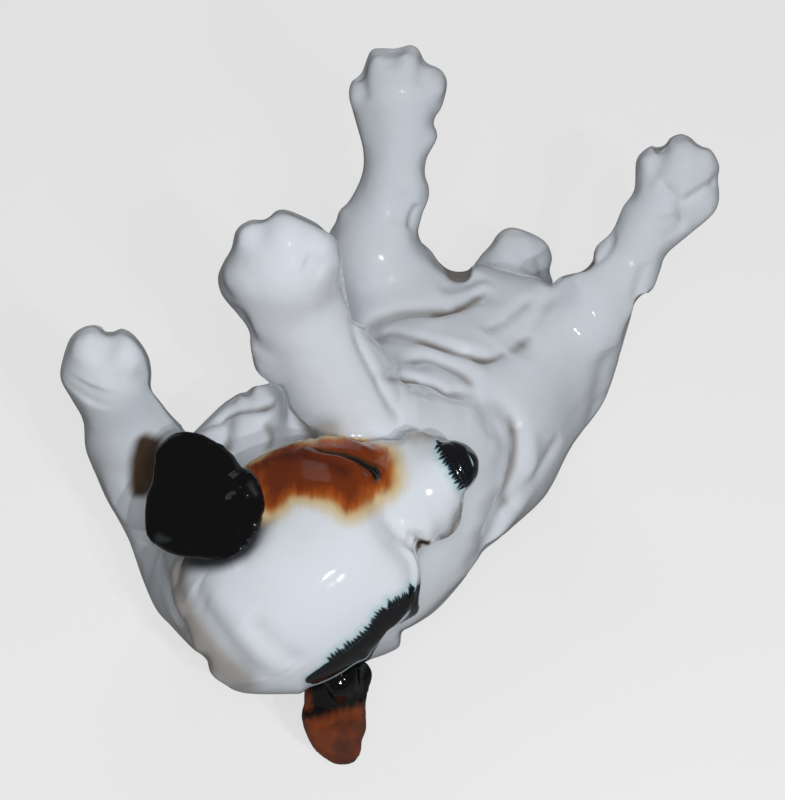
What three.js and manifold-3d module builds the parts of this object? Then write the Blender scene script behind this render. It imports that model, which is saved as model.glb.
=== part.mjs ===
// A terrier puppy figurine in glazed bone china, rolling on its back with its legs in the air.
// Millimetres, +Z up. The head lies towards -Y, the tail towards +Y and the dog's right side towards +X.
// The sculptor's model is cut up into castings. The legs and the tail meet the trunk in flat joints,
// the head sits on the neck, the ears sit on the head, and slip joins them before the firing.

import * as THREE from "three";
import { MarchingCubes } from "three/addons/objects/MarchingCubes.js";
import { mergeVertices } from "three/addons/utils/BufferGeometryUtils.js";
import Module from "manifold-3d";

const wasm = await Module();
wasm.setup();

// Clay and casting
const WALL = 3; // thickness of the cast wall of the hollow trunk and head
const SLIP = 0.3; // film of slip between two castings
const VENT_RADIUS = 2; // hole in the back that lets the kiln gases out
const FOOT_DEPTH = 1.2; // how much of the round back is ground off to make it stand

// Half widths of the trunk along the spine, and its depth as a share of its width
const RUMP_R = 14.5;
const PELVIS_R = 20;
const LOIN_R = 24;
const RIBS_R = 25;
const CHEST_R = 24;
const COLLAR_R = 17;
const NECK_R = 14.6;
const TUFT_R = 10;
const DEPTH_TO_WIDTH = 0.84;

// Radii of the limbs
const HIP_R = 12.5;
const THIGH_R = 12.3;
const KNEE_R = 9;
const HOCK_R = 6.2;
const PASTERN_R = 5.4;
const HIND_PAW_R = 7.2;
const SHOULDER_R = 13;
const ELBOW_R = 9.5;
const FOREARM_R = 7.8;
const WRIST_R = 6.8;
const FORE_PAW_R = 7;
const RAISED_ELBOW_R = 9; // the right foreleg is raised in front and is modelled stouter than the left
const RAISED_FOREARM_R = 8.4;
const RAISED_WRIST_R = 8;
const RAISED_PAW_R = 8.4;
const PAD_EXTRA = 0.5; // how far a paw swells at its pad
const HEEL_R = 3.6;
const TAIL_R = 6.3;

// The head
const SKULL_LENGTH = 36;
const SKULL_WIDTH = 30;
const SKULL_HEIGHT = 25;
const BROW_WIDTH = 23;
const BROW_R = 9;
const CHEEK_R = 8;
const MUZZLE_REACH = 19.5; // from the middle of the head to the end of the muzzle, without the nose
const STOP_R = 8.4; // the muzzle where it leaves the skull
const MUZZLE_R = 6.8;
const JAW_ROOT_R = 5.8;
const JAW_R = 4.2;
const LIP_ROOT_R = 6.6; // the left lip hangs, so the muzzle is fuller on that side
const LIP_R = 5;
const NOSE_R = 3.4;
const EAR_THICKNESS = 2.6;
const LEFT_EAR_LENGTH = 18;
const LEFT_EAR_WIDTH = 20;
const LEFT_EAR_CURL = 2;
const RIGHT_EAR_LENGTH = 19;
const RIGHT_EAR_WIDTH = 10.5;

// Round tools that press the folds of the loose skin and the stop of the face into the clay
const FOLD_R = 3.2;
const FLANK_FOLD_R = 4;

// Roundings where one form grows out of another
const LIMB_FILLET = 8;
const HEAD_FILLET = 4;
const TOE_FILLET = 1.4;
const FOLD_FILLET = 1.2;
const EAR_ROUNDING = 1.6;

// Edges of the little cubes that the surfaces are worked out on
const CAVITY_CELL = 4;
const TRUNK_CELL = 3.2;
const LIMB_CELL = 2.1;
const EAR_CELL = 1.35;
const MOST_TRIANGLES = 40000; // room for the largest of the surfaces

const v = (x, y, z) => new THREE.Vector3(x, y, z);
const unit = (x, y, z) => v(x, y, z).normalize();
const X = v(1, 0, 0);
const Y = v(0, 1, 0);
const Z = v(0, 0, 1);

// Directions on the head: to the nose, to its left side and to the top of the skull
const FORWARD = unit(0.45, 0.8, 0.4);
const LEFT = unit(0.2, -0.62, 0.76).cross(FORWARD).normalize();
const TOP = FORWARD.clone().cross(LEFT);
const HEAD_MIDDLE = v(17.5, -44.5, 34.5);
const onHead = (forward, left, top) =>
  HEAD_MIDDLE.clone().addScaledVector(FORWARD, forward).addScaledVector(LEFT, left).addScaledVector(TOP, top);

// Stations along the spine and the limbs: a point, and the radius of the form there
const RIBS_MIDDLE = v(6, -11.7, 18);
const SPINE = [
  [v(4, 26, 16), RUMP_R],
  [v(5, 16.5, 16), PELVIS_R],
  [v(6, 4.3, 17.5), LOIN_R],
  [RIBS_MIDDLE, RIBS_R],
  [v(5, -25.7, 17), CHEST_R],
  [v(2.5, -37, 15.5), COLLAR_R],
];
const NECK = [
  [v(2.5, -37, 15.5), COLLAR_R],
  [v(4, -44, 20), NECK_R],
  [v(9, -46.5, 27), NECK_R],
];
const LEFT_FORELEG = [
  [v(-10.5, -35, 19), SHOULDER_R],
  [v(-17.7, -41.2, 27), ELBOW_R],
  [v(-19, -42, 37), FOREARM_R],
  [v(-19.5, -43.5, 47), WRIST_R],
  [v(-19.5, -44.5, 54), FORE_PAW_R],
];
const RIGHT_FORELEG = [
  [v(9, -14, 26), SHOULDER_R],
  [v(8, -18.5, 37), RAISED_ELBOW_R],
  [v(3, -20.5, 47), RAISED_FOREARM_R],
  [v(-0.5, -21, 55), RAISED_WRIST_R],
  [v(-4.5, -22, 61), RAISED_PAW_R + PAD_EXTRA],
  [v(-3.5, -22.5, 66.5), RAISED_PAW_R],
];
const LEFT_HINDLEG = [
  [v(-5, 21, 20), HIP_R],
  [v(-11.5, 16.5, 28), THIGH_R],
  [v(-14.5, 15.5, 37), KNEE_R],
  [v(-14.5, 20.5, 46), HOCK_R],
  [v(-15, 23.5, 55), PASTERN_R],
  [v(-17.6, 26.8, 63.2), HIND_PAW_R + PAD_EXTRA],
];
const RIGHT_HINDLEG = [
  [v(9, 24, 20), HIP_R],
  [v(16, 25, 23.5), THIGH_R],
  [v(20.5, 30, 31), KNEE_R],
  [v(23.8, 37.6, 39), PASTERN_R],
  [v(25, 42.5, 45.5), PASTERN_R],
  [v(25.7, 48.5, 51.5), HIND_PAW_R],
];
const RIGHT_HEEL = v(27, 34, 35);
const TAIL = [
  [v(2, 34, 12), TAIL_R],
  [v(-3.5, 44.5, 16), TAIL_R],
  [v(-4, 46.5, 21), TAIL_R],
];

// Where the middle of the tool goes along each fold of the belly
const BELLY_FOLDS = [
  [v(-7.1, -0.6, 37), v(-0.6, 7, 38.9), v(3.3, 10.9, 38.7), v(5.5, 19.7, 36.9)],
  [v(-3.1, -1, 38.6), v(0.3, 1.3, 39.3), v(6.5, 1.8, 39.8), v(12.1, 2.8, 39.1), v(16, 5.7, 37.8), v(17.6, 11, 36.5)],
  [v(7.3, -4.4, 41.3), v(10.8, -1.2, 40.1), v(15.7, -0.5, 38.7)],
  [v(7.6, -14.1, 44.7), v(11.5, -8.8, 42.8), v(17.4, -4.6, 38.8), v(23.1, -1.4, 34.7)],
];
const FLANK_FOLD = [v(23.5, -1.3, 35.1), v(26.9, -1.5, 32.1), v(30, -5, 28.6), v(31.7, -10.7, 26.2), v(32.6, -18.6, 19.3)];

// Flat joints: a point on the joint, the way that the limb leaves it, and the width to cut
const JOINTS = {
  left_foreleg: { point: v(-18, -41.5, 33), way: unit(-0.25, -0.15, 0.96), width: 26 },
  right_foreleg: { point: v(7, -19.5, 42), way: unit(-0.25, -0.1, 0.96), width: 30 },
  left_hindleg: { point: v(-13, 16.5, 35), way: unit(-0.25, 0, 0.97), width: 34 },
  right_hindleg: { point: v(20, 29.5, 30), way: unit(0.5, 0.45, 0.74), width: 40 },
  tail: { point: v(-2, 42, 15), way: unit(-0.35, 0.9, 0.3), width: 26 },
};

// Every form is a function that gives the distance from a point to its surface, negative inside.

// A round limb that swells and tapers between its stations
function limb(stations, depthToWidth = 1) {
  const toPoint = v();
  const toEnd = v();
  return (p) => {
    let nearest = Infinity;
    for (let i = 1; i < stations.length; i++) {
      const [start, startRadius] = stations[i - 1];
      const [end, endRadius] = stations[i];
      toPoint.subVectors(p, start);
      toEnd.subVectors(end, start);
      toPoint.z /= depthToWidth;
      toEnd.z /= depthToWidth;
      const along = THREE.MathUtils.clamp(toPoint.dot(toEnd) / toEnd.lengthSq(), 0, 1);
      const radius = THREE.MathUtils.lerp(startRadius, endRadius, along);
      nearest = Math.min(nearest, toPoint.addScaledVector(toEnd, -along).length() - radius);
    }
    return nearest;
  };
}

function ball(centre, radius) {
  return (p) => p.distanceTo(centre) - radius;
}

// An egg-shaped lump with a radius along each of its three axes
function egg(centre, radii, axes) {
  const offset = v();
  const smallest = Math.min(...radii);
  return (p) => {
    offset.subVectors(p, centre);
    const shares = radii.map((radius, i) => offset.dot(axes[i]) / radius);
    return (Math.hypot(...shares) - 1) * smallest;
  };
}

// A flap of clay with a squarish rounded outline, which curls away from the viewer towards its tip
function flap(root, along, across, length, width, curl) {
  const offset = v();
  const normal = along.clone().cross(across);
  const squareness = 3;
  return (p) => {
    offset.subVectors(p, root);
    const run = offset.dot(along) / length;
    const lengthShare = Math.abs(2 * run - 1);
    const widthShare = Math.abs((2 * offset.dot(across)) / width);
    const share = Math.pow(lengthShare ** squareness + widthShare ** squareness, 1 / squareness);
    const outline = ((share - 1) * width) / 2;
    const face = Math.abs(offset.dot(normal) - curl * run * run) - EAR_THICKNESS / 2;
    return -join(-outline, -face, EAR_ROUNDING);
  };
}

// The smaller of two distances, rounded off where they are nearly equal
function join(a, b, fillet) {
  const overlap = Math.max(fillet - Math.abs(a - b), 0) / fillet;
  return Math.min(a, b) - (overlap * overlap * fillet) / 4;
}

function blend(fillet, ...forms) {
  return (p) => forms.map((form) => form(p)).reduce((a, b) => join(a, b, fillet));
}

const swell = (form, by) => (p) => form(p) - by;

// A leg with four toes side by side on its end, the middle two further out
function withToes(stations, across, ...lumps) {
  const [ankle] = stations[stations.length - 2];
  const [paw, radius] = stations[stations.length - 1];
  const out = paw.clone().sub(ankle).normalize();
  const side = across.clone().addScaledVector(out, -across.dot(out)).normalize();
  const toeRadius = 0.4 * radius;
  const toes = [-1.5, -0.5, 0.5, 1.5].map((step) => {
    const reach = Math.abs(step) < 1 ? 0.68 : 0.52;
    const centre = paw.clone().addScaledVector(side, step * toeRadius).addScaledVector(out, radius * reach);
    return ball(centre, toeRadius);
  });
  return blend(TOE_FILLET, limb(stations), ...toes, ...lumps);
}

const tool = (line, radius) => limb(line.map((point) => [point, radius]));

// A form with tools pressed into it
function pressIn(form, ...tools) {
  return (p) => -tools.reduce((depth, tool) => join(depth, tool(p), FOLD_FILLET), -form(p));
}

const tufts = egg(v(-8, -20, 27), [TUFT_R, TUFT_R * 1.3, TUFT_R], [X, Y, Z]);
const trunk = blend(HEAD_FILLET, limb(SPINE, DEPTH_TO_WIDTH), limb(NECK), tufts);
const rootOf = (stations) => limb(stations.slice(0, 4));
const roots = [LEFT_FORELEG, RIGHT_FORELEG, LEFT_HINDLEG, RIGHT_HINDLEG, TAIL].map(rootOf);
const folds = BELLY_FOLDS.map((line) => tool(line, FOLD_R));
const torsoForm = pressIn(blend(LIMB_FILLET, trunk, ...roots), ...folds, tool(FLANK_FOLD, FLANK_FOLD_R));
const pawSide = v(0.9, 0.4, 0);
const limbs = {
  left_foreleg: withToes(LEFT_FORELEG, pawSide),
  right_foreleg: withToes(RIGHT_FORELEG, pawSide),
  left_hindleg: withToes(LEFT_HINDLEG, pawSide),
  right_hindleg: withToes(RIGHT_HINDLEG, v(0.8, -0.4, 0.4), ball(RIGHT_HEEL, HEEL_R)),
  tail: limb(TAIL),
};
const headForms = blend(
  HEAD_FILLET,
  egg(onHead(-4, 0, -0.5), [SKULL_LENGTH / 2, SKULL_WIDTH / 2, SKULL_HEIGHT / 2], [FORWARD, LEFT, TOP]),
  egg(onHead(6, 0, 1), [BROW_R, BROW_WIDTH / 2, CHEEK_R], [FORWARD, LEFT, TOP]),
  ball(onHead(5, 9.5, -3), CHEEK_R),
  ball(onHead(4, -7, -5), CHEEK_R),
  limb([
    [onHead(6, 0, -3), STOP_R],
    [onHead(MUZZLE_REACH, 0, -3), MUZZLE_R],
  ]),
  limb([
    [onHead(2, 0, -8), JAW_ROOT_R],
    [onHead(MUZZLE_REACH - 3, 0, -8), JAW_R],
  ]),
  limb([
    [onHead(8, 8, -5), LIP_ROOT_R],
    [onHead(17.5, 4.5, -4.5), LIP_R],
  ]),
  ball(onHead(MUZZLE_REACH + 5, 0, -1), NOSE_R),
);
const STOP = [v(22.5, -35.9, 48.2), v(25.8, -37.7, 47.1), v(28.6, -38.9, 45.2), v(30.8, -38.6, 43)];
const head = pressIn(headForms, tool(STOP, FOLD_R));
const LEFT_EAR_ROOT = onHead(0.5, 11.4, 8.2);
const leftEar = flap(
  LEFT_EAR_ROOT, unit(-0.85, -0.5, -0.2), unit(-0.54, 0.77, 0.34),
  LEFT_EAR_LENGTH, LEFT_EAR_WIDTH, LEFT_EAR_CURL,
);
const RIGHT_EAR_ROOT = onHead(-5, -12, -2.5);
const rightEar = flap(
  RIGHT_EAR_ROOT, unit(0.25, -0.36, -0.9), unit(0.82, 0.57, 0),
  RIGHT_EAR_LENGTH, RIGHT_EAR_WIDTH, 0,
);

// The part of a form that lies inside a cube of space, as a closed solid
function solid(form, { middle, span }, cell) {
  const count = Math.ceil(span / cell) + 6;
  const half = (count * cell) / 2;
  const cubes = new MarchingCubes(count, new THREE.MeshStandardMaterial(), false, false, MOST_TRIANGLES);
  cubes.isolation = 0;
  const p = v();
  const leastDepth = cell / 40; // keeps the surface off the grid points, where its triangles would be slivers
  for (let k = 0; k < count; k++)
    for (let j = 0; j < count; j++)
      for (let i = 0; i < count; i++) {
        p.set(i, j, k).multiplyScalar(cell).subScalar(half);
        const toWall = (span + cell) / 2 - Math.max(Math.abs(p.x), Math.abs(p.y), Math.abs(p.z));
        const depth = Math.min(-form(p.add(middle)), toWall);
        const away = depth < 0 ? -leastDepth : leastDepth;
        cubes.setCell(i, j, k, Math.abs(depth) < leastDepth ? away : depth);
      }
  cubes.update();
  const corners = cubes.positionArray.slice(0, cubes.count * 3);
  const geometry = new THREE.BufferGeometry();
  geometry.setAttribute("position", new THREE.BufferAttribute(corners, 3));
  geometry.scale(half, half, half);
  geometry.translate(middle.x, middle.y, middle.z);
  return toSolid(geometry);
}

function toSolid(geometry) {
  geometry.deleteAttribute("normal");
  geometry.deleteAttribute("uv");
  const merged = mergeVertices(geometry, 1e-3);
  const vertProperties = new Float32Array(merged.getAttribute("position").array);
  const triVerts = new Uint32Array(merged.index.array);
  return new wasm.Manifold(new wasm.Mesh({ numProp: 3, vertProperties, triVerts }));
}

// A block that holds everything further out than a joint
function beyond({ point, way, width }, gap = 0) {
  const reach = 60;
  const block = new THREE.BoxGeometry(width, width, reach);
  block.translate(0, 0, reach / 2 + gap);
  block.applyQuaternion(new THREE.Quaternion().setFromUnitVectors(Z, way));
  block.translate(point.x, point.y, point.z);
  return toSolid(block);
}

// Everything below the flat that is ground on the back
const FOOT_HEIGHT = RIBS_MIDDLE.z - RIBS_R * DEPTH_TO_WIDTH + FOOT_DEPTH;
function belowFoot() {
  const depth = 30;
  const slab = new THREE.BoxGeometry(200, 300, depth);
  slab.translate(0, 0, FOOT_HEIGHT - depth / 2);
  return toSolid(slab);
}

function vent() {
  const length = 3 * WALL;
  const bore = new THREE.CylinderGeometry(VENT_RADIUS, VENT_RADIUS, length, 24);
  bore.rotateX(Math.PI / 2);
  bore.translate(RIBS_MIDDLE.x, RIBS_MIDDLE.y, FOOT_HEIGHT);
  return toSolid(bore);
}

// A cube of space that holds some stations with their forms
function spaceAround(stations) {
  const room = new THREE.Box3().setFromPoints(stations.map(([point]) => point));
  room.expandByScalar(Math.max(...stations.map(([, radius]) => radius)) + LIMB_FILLET);
  return { middle: room.getCenter(v()), span: Math.max(...room.getSize(v())) };
}

const STATIONS = {
  left_foreleg: LEFT_FORELEG,
  right_foreleg: RIGHT_FORELEG,
  left_hindleg: LEFT_HINDLEG,
  right_hindleg: RIGHT_HINDLEG,
  tail: TAIL,
};
const WHOLE_DOG = spaceAround([...SPINE, ...NECK, ...Object.values(STATIONS).flat()]);
const HEAD_SPACE = spaceAround([[HEAD_MIDDLE, SKULL_LENGTH]]);

function castTorso() {
  let torso = solid(torsoForm, WHOLE_DOG, TRUNK_CELL);
  for (const joint of Object.values(JOINTS)) torso = torso.subtract(beyond(joint));
  const cavity = solid(swell(trunk, -WALL), WHOLE_DOG, CAVITY_CELL);
  return torso.subtract(belowFoot()).subtract(cavity).subtract(vent());
}

// The head is a shell that sits on the neck, which fills the hole in its underside.
function castHead() {
  const cavity = solid(swell(head, -WALL), HEAD_SPACE, LIMB_CELL);
  const neckSeat = solid(swell(torsoForm, SLIP), WHOLE_DOG, TRUNK_CELL);
  return solid(head, HEAD_SPACE, LIMB_CELL).subtract(cavity).subtract(neckSeat);
}

function castLimb(name) {
  const form = blend(LIMB_FILLET, trunk, limbs[name]);
  return solid(form, spaceAround(STATIONS[name]), LIMB_CELL).intersect(beyond(JOINTS[name], SLIP));
}

function castEar(ear, root, length) {
  const earSeat = solid(swell(head, SLIP), HEAD_SPACE, LIMB_CELL);
  return solid(ear, spaceAround([[root, length]]), EAR_CELL).subtract(earSeat);
}

const figurine = new THREE.Group();
const WHITE = { color: 0xf2f1ee, roughness: 0.12, metalness: 0 };
const BLACK = { color: 0x1b1819, roughness: 0.1, metalness: 0 };

function addPiece(name, casting, look) {
  const { vertProperties, triVerts } = casting.getMesh();
  const geometry = new THREE.BufferGeometry();
  geometry.setAttribute("position", new THREE.BufferAttribute(vertProperties, 3));
  geometry.setIndex(new THREE.BufferAttribute(triVerts, 1));
  geometry.computeVertexNormals();
  const mesh = new THREE.Mesh(geometry, new THREE.MeshStandardMaterial(look));
  mesh.name = name;
  figurine.add(mesh);
}

addPiece("torso", castTorso(), WHITE);
addPiece("head", castHead(), WHITE);
for (const name of Object.keys(limbs)) addPiece(name, castLimb(name), WHITE);
addPiece("left_ear", castEar(leftEar, LEFT_EAR_ROOT, LEFT_EAR_LENGTH), BLACK);
addPiece("right_ear", castEar(rightEar, RIGHT_EAR_ROOT, RIGHT_EAR_LENGTH), BLACK);

// The figurine stands on the ground, with the middle of its outline over the origin.
const outline = new THREE.Box3().setFromObject(figurine);
const middle = outline.getCenter(v());
figurine.position.set(-middle.x, -middle.y, -outline.min.z);

export default figurine;
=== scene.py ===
"""A glazed bone-china terrier puppy that rolls on its back: modelled skin, painted head, glaze and studio."""

import math
import random
from collections import namedtuple

import bmesh
import bpy
import numpy as np
from mathutils import Matrix, Vector
from mathutils.bvhtree import BVHTree


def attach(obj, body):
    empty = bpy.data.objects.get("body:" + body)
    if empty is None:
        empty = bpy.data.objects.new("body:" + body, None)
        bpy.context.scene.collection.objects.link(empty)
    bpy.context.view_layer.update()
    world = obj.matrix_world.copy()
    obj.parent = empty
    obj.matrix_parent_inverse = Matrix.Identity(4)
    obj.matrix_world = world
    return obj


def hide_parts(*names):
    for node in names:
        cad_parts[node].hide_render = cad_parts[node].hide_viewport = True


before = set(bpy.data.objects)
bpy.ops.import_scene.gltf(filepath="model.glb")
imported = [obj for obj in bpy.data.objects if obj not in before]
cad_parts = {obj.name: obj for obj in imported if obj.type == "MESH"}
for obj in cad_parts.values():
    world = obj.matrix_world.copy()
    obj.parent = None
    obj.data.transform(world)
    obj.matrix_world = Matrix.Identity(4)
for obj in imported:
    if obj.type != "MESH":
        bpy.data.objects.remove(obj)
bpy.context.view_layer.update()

MM = 0.001

# The camera
# It stands where the photographer stood: over the dog's head, half way up, looking along the belly.
# Places on the figurine are also given by where they are seen from here, in pixels of the photograph.

PICTURE = (785, 800)
FOCAL_PIXELS = 1500
SENSOR_WIDTH = 36
AIM = Vector((-2.9, 4, 23.8)) * MM
DISTANCE = 260 * MM
AZIMUTH, ELEVATION = math.radians(35), math.radians(45)

level = math.cos(ELEVATION)
towards_camera = Vector((math.sin(AZIMUTH) * level, -math.cos(AZIMUTH) * level, math.sin(ELEVATION)))
eye = AIM + towards_camera * DISTANCE
across = Vector((math.cos(AZIMUTH), math.sin(AZIMUTH), 0))
upwards = towards_camera.cross(across)


def in_scene(name, data):
    """A new object in the scene."""
    made = bpy.data.objects.new(name, data)
    bpy.context.scene.collection.objects.link(made)
    return made


def aimed(name, data, place, way):
    """A camera or a lamp at a place, which looks back along a direction."""
    made = in_scene(name, data)
    made.location = place
    made.rotation_mode = "QUATERNION"
    made.rotation_quaternion = (-way).to_track_quat("-Z", "Y")
    return made


optics = bpy.data.cameras.new("camera")
optics.sensor_width = SENSOR_WIDTH
optics.lens = SENSOR_WIDTH * FOCAL_PIXELS / max(PICTURE)
optics.clip_start = 20 * MM
bpy.context.scene.camera = aimed("camera", optics, eye, towards_camera)


def sight_line(x, y):
    """The direction in which the camera sees a pixel."""
    right = (x - PICTURE[0] / 2) / FOCAL_PIXELS
    up = (PICTURE[1] / 2 - y) / FOCAL_PIXELS
    return (across * right + upwards * up - towards_camera).normalized()


# The clay figure
# The castings are luted together with slip while they are leather-hard, pellets of clay are added for the
# toes, and the seams are fettled away, so that one skin runs over the trunk, the neck, the head, the legs
# and the tail.

LUTED = ["torso", "head", "left_foreleg", "right_foreleg", "left_hindleg", "right_hindleg", "tail"]
HEAD = LUTED.index("head")
WELD = 0.002 * MM
SLIP_SPREAD = 0.22 * MM
CLAY_GRAIN = 0.75 * MM
VENT_MIDDLE = Vector((3.11, -7.74, 0)) * MM
VENT_R = 2 * MM
PLUG_R = 1.5 * VENT_R
PLUG_DEPTH = 3 * MM

# The head's own directions: features that the camera can't see are given by how far forward, left and up
# they are.
head_middle = Vector((14.612, -40.536, 36.3)) * MM
forward = Vector((0.45, 0.8, 0.4)).normalized()
leftward = Vector((0.2, -0.62, 0.76)).cross(forward).normalized()
topward = forward.cross(leftward)


def opened(mesh):
    """A mesh's points, edges and faces, which can be worked on one by one."""
    parts = bmesh.new()
    parts.from_mesh(mesh)
    return parts


def casting(node):
    """A copy of a casting's solid with its corners joined."""
    clay = opened(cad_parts[node].data)
    bmesh.ops.remove_doubles(clay, verts=clay.verts, dist=WELD)
    clay.normal_update()
    return clay


def gathered(lumps):
    """One mesh of several lumps of clay."""
    mesh = bpy.data.meshes.new("lumps")
    pile = bmesh.new()
    for lump in lumps:
        lump.to_mesh(mesh)
        pile.from_mesh(mesh)
    pile.to_mesh(mesh)
    pile.free()
    return mesh


def worked(mesh, *steps):
    """A mesh after some modifiers, each given as its type and its settings."""
    bench = in_scene("bench", mesh)
    for kind, settings in steps:
        modifier = bench.modifiers.new(kind.lower(), kind)
        for name, value in settings.items():
            setattr(modifier, name, value)
    graph = bpy.context.evaluated_depsgraph_get()
    made = bpy.data.meshes.new_from_object(bench.evaluated_get(graph))
    bpy.data.objects.remove(bench)
    return made


def smoothing(rounds):
    """A step of working that evens a skin out."""
    return "SMOOTH", {"factor": 0.5, "iterations": rounds}


FINER = ("SUBSURF", {"levels": 1, "render_levels": 1})


def islands(items, neighbours):
    """The groups of items that hang together, where neighbours is a function that gives those of one item."""
    unseen = dict.fromkeys(items)
    found = []
    while unseen:
        island = [unseen.popitem()[0]]
        for item in island:
            for other in neighbours(item):
                if other in unseen:
                    del unseen[other]
                    island.append(other)
        found.append(island)
    return found


def fused(mesh, grain):
    """The outer skin of lumps of clay that run into one another."""
    mesh = worked(mesh, ("REMESH", {"mode": "VOXEL", "voxel_size": grain}))
    skin = opened(mesh)
    shells = islands(skin.verts, lambda vert: [edge.other_vert(vert) for edge in vert.link_edges])
    inner = sorted(shells, key=len)[:-1]
    bmesh.ops.delete(skin, geom=[vert for shell in inner for vert in shell], context="VERTS")
    skin.to_mesh(mesh)
    skin.free()
    return mesh


def leave_only(skin, index):
    """Takes all the castings but one off a skin."""
    others = [face for face in skin.faces if face.material_index != index]
    bmesh.ops.delete(skin, geom=others, context="FACES")


class Sight:
    """Finds places on a skin of clay, or on one casting's part of it."""

    def __init__(self, mesh, only=None):
        skin = opened(mesh)
        if only is not None:
            leave_only(skin, only)
        self.tree = BVHTree.FromBMesh(skin)
        skin.free()

    def pixel(self, x, y):
        """The place that the camera sees at a pixel, or the place that is nearest to that line of sight."""
        line = sight_line(x, y)
        hit = self.tree.ray_cast(eye, line)[0]
        if hit is not None:
            return hit
        far = DISTANCE
        for _ in range(12):
            hit = self.tree.find_nearest(eye + line * far)[0]
            far = (hit - eye).dot(line)
        return hit

    def place(self, point):
        """The place for a pixel, or for a point of the head given in millimetres forward, left and up."""
        if len(point) == 2:
            return self.pixel(*point)
        aim = head_middle + (forward * point[0] + leftward * point[1] + topward * point[2]) * MM
        return self.tree.find_nearest(aim)[0]

    def line(self, points, step=5):
        """Places along the smooth curve through some points, about a step apart."""
        return np.array([list(self.place(point)) for point in curve_through(points, step)])

    def other_side(self, line):
        """The same line on the other side of the head."""
        found = []
        for point in line:
            aim = Vector(point)
            aim -= leftward * 2 * leftward.dot(aim - head_middle)
            found.append(list(self.tree.find_nearest(aim)[0]))
        return np.array(found)


# The step along lines whose points are given in millimetres on the head
HEAD_STEP = 0.8


def curve_through(points, step):
    """Points about a step apart on a smooth curve through some points, as a stroke of the hand goes.

    The step is in pixels, unless the points are in millimetres.
    """
    points = [np.array(point, float) for point in points]
    if len(points) == 1:
        return points
    if len(points[0]) == 3:
        step = HEAD_STEP
    ends = [2 * points[0] - points[1], *points, 2 * points[-1] - points[-2]]
    curve = []
    for before, start, end, after in zip(ends, ends[1:], ends[2:], ends[3:]):
        count = max(1, math.ceil(np.linalg.norm(end - start) / step))
        for t in np.arange(count) / count:
            bend = 2 * before - 5 * start + 4 * end - after
            turn = 3 * start - before - 3 * end + after
            curve.append(start + ((end - before) * t + bend * t**2 + turn * t**3) / 2)
    return [*curve, points[-1]]


# Pellets of clay: the pixel that they are seen at, their radius, and how far they stand out of the skin.
PELLETS = [
    # the left fore paw
    ((85, 350), 3.7, 1.0),
    ((126, 352), 3.7, 1.0),
    # the right fore paw
    ((244, 236), 3.4, 0.7),
    ((286, 224), 4.6, 0.7),
    ((324, 238), 3.8, 0.6),
    ((232, 278), 5.2, 0.7),
    # the left hind paw
    ((378, 62), 3.0, 1.0),
    ((408, 60), 3.4, 1.0),
    ((434, 86), 3.4, 1.0),
    ((356, 98), 2.5, 0.8),
    # the right hind paw
    ((684, 160), 4.4, 0.9),
    ((648, 162), 2.7, 0.9),
    ((702, 206), 4.2, 0.8),
]

lumps = [casting(node) for node in LUTED]
for lump in lumps:
    for vert in lump.verts:
        vert.co += vert.normal * SLIP_SPREAD

plug = bmesh.new()
bmesh.ops.create_cone(
    plug,
    cap_ends=True,
    segments=24,
    radius1=PLUG_R,
    radius2=PLUG_R,
    depth=PLUG_DEPTH,
    matrix=Matrix.Translation(VENT_MIDDLE + Vector((0, 0, PLUG_DEPTH / 2 - SLIP_SPREAD))),
)
lumps.append(plug)

rough = Sight(gathered(lumps))
for pixel, radius, height in PELLETS:
    seat = rough.pixel(*pixel)
    inward = -rough.tree.find_nearest(seat)[1]
    pellet = bmesh.new()
    middle = seat + inward * (radius - height) * MM
    bmesh.ops.create_icosphere(pellet, subdivisions=3, radius=radius * MM, matrix=Matrix.Translation(middle))
    lumps.append(pellet)
figure = fused(gathered(lumps), CLAY_GRAIN)


def beside(face):
    """The faces that share an edge with a face, and the face itself."""
    return [other for edge in face.edges for other in edge.link_faces]


def commonest(values):
    """The value that a list holds most often."""
    return max(set(values), key=values.count)


# Each face is marked with the casting that it belongs to, without islands along the seams.
SEAM_ROUNDS = 6
skin = opened(figure)
solids = [BVHTree.FromBMesh(casting(node)) for node in LUTED]
for face in skin.faces:
    gaps = [solid.find_nearest(face.calc_center_median())[3] for solid in solids]
    face.material_index = gaps.index(min(gaps))
for _ in range(SEAM_ROUNDS):
    for face in skin.faces:
        around = [other.material_index for other in beside(face) if other is not face]
        most = commonest(around)
        if around.count(most) > 2:
            face.material_index = most
for index in range(len(LUTED)):
    patches = islands([face for face in skin.faces if face.material_index == index], beside)
    for patch in sorted(patches, key=len)[:-1]:
        around = [other.material_index for face in patch for other in beside(face)]
        most = commonest([other for other in around if other != index])
        for face in patch:
            face.material_index = most
skin.to_mesh(figure)
skin.free()

figure = worked(figure, smoothing(7), FINER, smoothing(3))

# The head is painted with fine strokes, so its skin is twice as fine.
skin = opened(figure)
head_edges = dict.fromkeys(
    edge for face in skin.faces if face.material_index == HEAD for edge in face.edges
)
bmesh.ops.subdivide_edges(skin, edges=list(head_edges), cuts=1, use_grid_fill=True)
skin.to_mesh(figure)
skin.free()
figure = worked(figure, smoothing(3))


# The trunk
# A hollow casting. Its belly skin is loose: folds run across it from the thighs, a crease goes round the
# chest and down the flank, and tufts of fur stand on the chest between the forelegs. The nape is ribbed
# with folds.

Stroke = namedtuple("Stroke", "points width height both_sides")


def pressed(width, depth, *points, both_sides=False):
    """A groove or dent pressed in with a round tool; sizes in millimetres, places as Sight takes them."""
    return Stroke(points, width, -depth, both_sides)


def raised(width, height, *points, both_sides=False):
    """A ridge or lump pushed up; sizes in millimetres, places as Sight takes them."""
    return Stroke(points, width, height, both_sides)


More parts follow.
